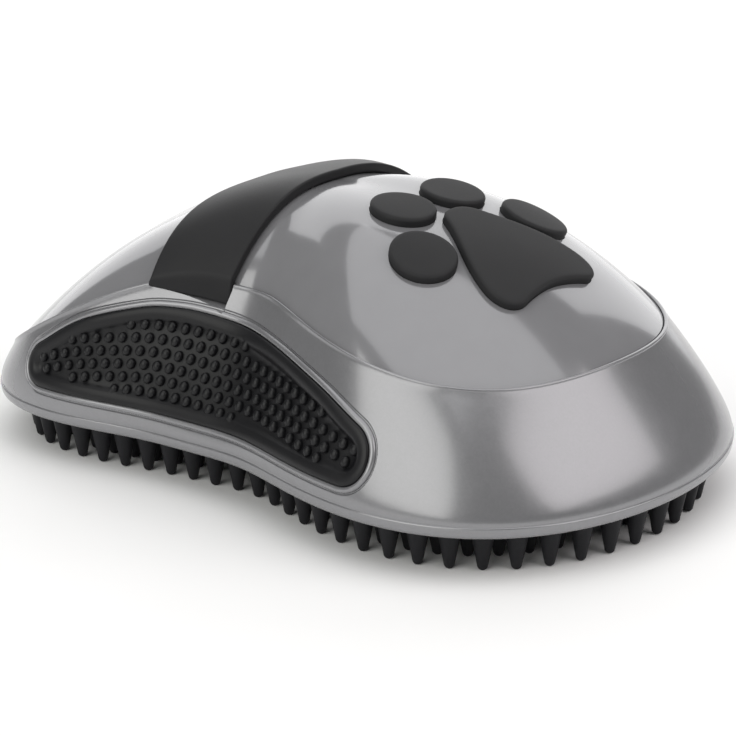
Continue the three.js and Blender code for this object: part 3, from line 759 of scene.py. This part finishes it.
def field_places():
    """The staggered rows of teeth in the middle of the sole."""
    places = []
    reach = math.ceil(RIM_RADII[0] / FIELD_PITCH)
    for row in range(-reach, reach + 1):
        for column in range(-reach, reach + 1):
            stagger = 0.5 * (row % 2)
            x = (column + stagger) * FIELD_PITCH - APEX_X
            y = row * FIELD_PITCH * math.sqrt(3) / 2
            ring = np.hypot(*on_ring(math.atan2(y, x), FIELD_STEP))
            if math.hypot(x, y) < ring:
                places.append((x, y))
    return places


def teeth_piece(places):
    """Round cones with a flared foot and a rounded tip, standing apart from each other."""
    sides = np.linspace(0, 2 * math.pi, TOOTH_SIDES, endpoint=False)
    tip = arc((0, TOOTH_TIP_RADIUS), TOOTH_TIP_RADIUS, -70, -12, 5)
    tip = [(radius, height - tip[0][1]) for radius, height in tip]
    tip_end = np.array(tip[-1])
    shank_end = np.array([TOOTH_SHANK_RADIUS, TOOTH_BASE - TOOTH_FLARE])
    shank = [tip_end + t * (shank_end - tip_end) for t in np.linspace(0, 1, 5)[1:]]
    root = [(TOOTH_BASE_RADIUS, TOOTH_BASE), (TOOTH_BASE_RADIUS, TOOTH_BASE + TOOTH_ROOT)]
    profile = [*tip, *shank, *root]
    points, faces = [], []
    for x, y in places:
        start = len(points)
        for radius, height in profile:
            points.extend(np.stack([
                x + radius * np.cos(sides), y + radius * np.sin(sides), np.full(len(sides), height),
            ], -1))
        for face in lattice(len(profile), len(sides), False):
            faces.append(tuple(start + i for i in face))
    return make_piece("teeth", np.array(points), faces)


def tooth_pad():
    rim = rim_radius(ANGLES)
    sole_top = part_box("tooth_pad")[1].z
    edge = rim - SOLE_INSET
    section = [(rim * 0.3, TOOTH_BASE), (rim * 0.7, TOOTH_BASE)]
    for across, up in arc((-SOLE_ROUND, SOLE_ROUND), SOLE_ROUND, -90, 0, 5):
        section.append((edge + across, TOOTH_BASE + up))
    section.append((edge, sole_top))
    pad = ring_piece("tooth_pad_sole", section, close_rows=False)
    angles = outer_tooth_angles()
    outer, inner = on_ring(angles, 0), on_ring(angles, TOOTH_ROW_STEP)
    for group in (outer[::2], outer[1::2], inner[::2], inner[1::2], field_places()):
        combine(pad, teeth_piece(group), "UNION")
    smooth(pad, 50)
    return pad


# ---------------------------------------------------------------- materials

def new_material(name, colour, roughness, **settings):
    """A Principled material, with its node tree and its shader."""
    material = bpy.data.materials.new(name)
    material.use_nodes = True
    material.diffuse_color = (*colour, 1)
    tree = material.node_tree
    shader = tree.nodes["Principled BSDF"]
    shader.inputs["Base Color"].default_value = (*colour, 1)
    shader.inputs["Roughness"].default_value = roughness
    for setting, value in settings.items():
        shader.inputs[setting.replace("_", " ")].default_value = value
    return material, tree, shader


def texture(tree, kind, **inputs):
    """A texture node that follows the object's own coordinates."""
    place = tree.nodes.new("ShaderNodeTexCoord")
    node = tree.nodes.new(kind)
    tree.links.new(place.outputs["Object"], node.inputs["Vector"])
    for name, value in inputs.items():
        node.inputs[name].default_value = value
    return node


def spread(tree, source, low, high):
    """A 0 to 1 value stretched between two numbers."""
    node = tree.nodes.new("ShaderNodeMapRange")
    node.inputs["To Min"].default_value = low
    node.inputs["To Max"].default_value = high
    tree.links.new(source, node.inputs["Value"])
    return node.outputs["Result"]


def tint(tree, source, dark, light):
    """A colour between two, chosen by a 0 to 1 value. Inputs 6 and 7 are the node's two colours."""
    node = tree.nodes.new("ShaderNodeMix")
    node.data_type = "RGBA"
    node.inputs[6].default_value = (*dark, 1)
    node.inputs[7].default_value = (*light, 1)
    tree.links.new(source, node.inputs["Factor"])
    return node.outputs[2]


def bump(tree, source, distance, strength=1.0):
    node = tree.nodes.new("ShaderNodeBump")
    node.inputs["Distance"].default_value = distance
    node.inputs["Strength"].default_value = strength
    tree.links.new(source, node.inputs["Height"])
    return node.outputs["Normal"]


def shaded(colour, factor):
    return tuple(channel * factor for channel in colour)


def pearl_plastic(name, colour):
    """Silver-grey moulded plastic full of fine pearl flakes under a satin skin."""
    material, tree, shader = new_material(
        name, colour, 0.24, Metallic=0.6, Coat_Weight=0.3, Coat_Roughness=0.1,
    )
    flakes = texture(tree, "ShaderNodeTexVoronoi", Scale=3200.0)
    clouds = texture(tree, "ShaderNodeTexNoise", Scale=420.0, Detail=3.0)
    value = tree.nodes.new("ShaderNodeSeparateColor")
    tree.links.new(flakes.outputs["Color"], value.inputs["Color"])
    mixed = tree.nodes.new("ShaderNodeMix")
    mixed.inputs["Factor"].default_value = 0.55
    tree.links.new(value.outputs["Red"], mixed.inputs["A"])
    tree.links.new(clouds.outputs["Fac"], mixed.inputs["B"])
    grain = mixed.outputs["Result"]
    links = tree.links
    links.new(tint(tree, grain, shaded(colour, 0.95), shaded(colour, 1.05)), shader.inputs["Base Color"])
    links.new(spread(tree, grain, 0.2, 0.28), shader.inputs["Roughness"])
    links.new(bump(tree, grain, 0.0000035), shader.inputs["Normal"])
    return material


def gloss_plastic(name, colour):
    """Mid-grey moulded plastic with a polished face."""
    material, tree, shader = new_material(
        name, colour, 0.12, Metallic=0.3, Coat_Weight=0.4, Coat_Roughness=0.04,
    )
    clouds = texture(tree, "ShaderNodeTexNoise", Scale=260.0, Detail=4.0)
    links = tree.links
    fac = clouds.outputs["Fac"]
    links.new(tint(tree, fac, shaded(colour, 0.96), shaded(colour, 1.04)), shader.inputs["Base Color"])
    links.new(spread(tree, fac, 0.1, 0.17), shader.inputs["Roughness"])
    links.new(bump(tree, fac, 0.0000012), shader.inputs["Normal"])
    return material


def rubber(name, colour, roughness, grain_scale, grain_depth, shine=0.18):
    """Moulded rubber: a fine matte grain with slightly dusty high spots."""
    material, tree, shader = new_material(name, colour, roughness, Specular_IOR_Level=shine)
    grain = texture(tree, "ShaderNodeTexNoise", Scale=grain_scale, Detail=4.0, Roughness=0.6)
    dust = texture(tree, "ShaderNodeTexNoise", Scale=90.0, Detail=3.0)
    links = tree.links
    fac = dust.outputs["Fac"]
    links.new(tint(tree, fac, shaded(colour, 0.85), shaded(colour, 1.18)), shader.inputs["Base Color"])
    low, high = roughness - 0.05, roughness + 0.06
    links.new(spread(tree, grain.outputs["Fac"], low, high), shader.inputs["Roughness"])
    links.new(bump(tree, grain.outputs["Fac"], grain_depth), shader.inputs["Normal"])
    return material


def moulded_nylon(name, colour):
    return rubber(name, colour, 0.5, 2200.0, 0.000008)


def plated_steel(name, colour):
    """Zinc-plated steel with a faint patchy sheen."""
    material, tree, shader = new_material(name, colour, 0.3, Metallic=1.0)
    patches = texture(tree, "ShaderNodeTexNoise", Scale=900.0, Detail=3.0)
    fac = patches.outputs["Fac"]
    tree.links.new(spread(tree, fac, 0.22, 0.4), shader.inputs["Roughness"])
    tree.links.new(
        tint(tree, fac, shaded(colour, 0.9), shaded(colour, 1.05)), shader.inputs["Base Color"],
    )
    return material


COLOURS = {m["slot"]: tuple(m["base_color"]) for m in frame["record"]["materials"]}
# These rubbers are darker than the record says, so that they look as dark under the studio's lights.
STRAP_COLOUR = shaded(COLOURS["strap_rubber"], 0.55)
GRIP_COLOUR = shaded(COLOURS["grip_rubber"], 0.35)
PAW_COLOUR = shaded(COLOURS["paw_rubber"], 0.55)
MATERIALS = {
    "pearl_plastic": pearl_plastic("pearl_plastic", COLOURS["pearl_plastic"]),
    "gloss_plastic": gloss_plastic("gloss_plastic", COLOURS["gloss_plastic"]),
    "strap_rubber": rubber("strap_rubber", STRAP_COLOUR, 0.45, 3000.0, 0.000006),
    "grip_rubber": rubber("grip_rubber", GRIP_COLOUR, 0.36, 3400.0, 0.000005, 0.3),
    "paw_rubber": rubber("paw_rubber", PAW_COLOUR, 0.6, 3600.0, 0.000008),
    "tooth_rubber": rubber("tooth_rubber", COLOURS["tooth_rubber"], 0.5, 3000.0, 0.000008),
    "inner_plastic": moulded_nylon("inner_plastic", COLOURS["inner_plastic"]),
    "screw_steel": plated_steel("screw_steel", COLOURS["screw_steel"]),
}
SLOTS = {part["node"]: part["material_slot"] for part in frame["record"]["subparts"]}

# ---------------------------------------------------------------- assembly

def stand_for(piece, node):
    """Gives a finished piece its material and puts it in the place of its CAD node."""
    piece.data.materials.clear()
    piece.data.materials.append(MATERIALS[SLOTS[node]])
    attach(piece, "root")
    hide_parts(node)


replaced = {
    "lower_shell": lower_shell(),
    "upper_shell": upper_shell(),
    "palm_strap": palm_strap(),
    "side_grip_right": side_grip(-1, "side_grip_right_pad"),
    "side_grip_left": side_grip(1, "side_grip_left_pad"),
    "tooth_pad": tooth_pad(),
}
for node, outline in pad_outlines().items():
    replaced[node] = paw_pad(node + "_rubber", outline)
for node, piece in replaced.items():
    stand_for(piece, node)

for node, part in frame["nodes"].items():
    if node not in replaced:
        part.data.materials.clear()
        part.data.materials.append(MATERIALS[SLOTS[node]])

# ---------------------------------------------------------------- floor, lights and camera

CAMERA_AZIMUTH = 41.1
CAMERA_ELEVATION = 19.5
CAMERA_DISTANCE = 0.379
CAMERA_TARGET = Vector((0.0007, 0.0011, 0.0129))
CAMERA_LENS = 108.7
LAMP_DISTANCE = 0.9


def direction(azimuth, elevation):
    """The way from the object to a viewer: azimuth 0 stands at -Y and 90 at +X, in degrees."""
    a, e = math.radians(azimuth), math.radians(elevation)
    return Vector((math.sin(a) * math.cos(e), -math.cos(a) * math.cos(e), math.sin(e)))


def aimed(thing, place, target):
    thing.location = place
    thing.rotation_euler = (place - target).to_track_quat("Z", "Y").to_euler()
    bpy.context.scene.collection.objects.link(thing)


def camera():
    data = bpy.data.cameras.new("camera")
    data.lens = CAMERA_LENS
    data.sensor_width = 36.0
    data.clip_start = 0.01
    eye = bpy.data.objects.new("camera", data)
    way = direction(CAMERA_AZIMUTH, CAMERA_ELEVATION)
    aimed(eye, CAMERA_TARGET + CAMERA_DISTANCE * way, CAMERA_TARGET)
    bpy.context.scene.camera = eye


def softbox(name, azimuth, elevation, width, height, radiance, colour=(1, 1, 1)):
    """A rectangular lamp facing the object, as bright as a surface of the given radiance."""
    data = bpy.data.lights.new(name, "AREA")
    data.shape = "RECTANGLE"
    data.size = width
    data.size_y = height
    data.color = colour
    data.energy = math.pi * width * height * radiance
    lamp = bpy.data.objects.new(name, data)
    middle = Vector((0, 0, 0.02))
    aimed(lamp, middle + LAMP_DISTANCE * direction(azimuth, elevation), middle)


def surroundings(strength):
    world = bpy.data.worlds.new("studio")
    world.use_nodes = True
    background = world.node_tree.nodes["Background"]
    background.inputs["Color"].default_value = (1, 1, 1, 1)
    background.inputs["Strength"].default_value = strength
    bpy.context.scene.world = world


def studio_floor():
    half = 3.0
    corners = [(-half, -half, 0), (half, -half, 0), (half, half, 0), (-half, half, 0)]
    mesh = bpy.data.meshes.new("studio_floor")
    mesh.from_pydata(corners, [], [(0, 1, 2, 3)])
    floor = bpy.data.objects.new("studio_floor", mesh)
    bpy.context.scene.collection.objects.link(floor)
    material, tree, shader = new_material("pale_floor", (0.9, 0.9, 0.9), 0.9)
    speckle = texture(tree, "ShaderNodeTexNoise", Scale=30.0)
    tree.links.new(
        tint(tree, speckle.outputs["Fac"], (0.89, 0.89, 0.89), (0.91, 0.91, 0.91)),
        shader.inputs["Base Color"],
    )
    mesh.materials.append(material)


camera()
surroundings(0.24)
studio_floor()
softbox("left_softbox", 0, 29, 0.86, 0.76, 2.1, (1, 1, 0.96))
softbox("right_softbox", 110, 36, 0.9, 0.56, 2.1, (1, 0.96, 0.96))
softbox("top_softbox", 41, 90, 1.1, 1.1, 1.2)
softbox("back_softbox", 222, 24, 1.5, 0.9, 1.35)
bpy.context.scene.view_settings.view_transform = "Standard"
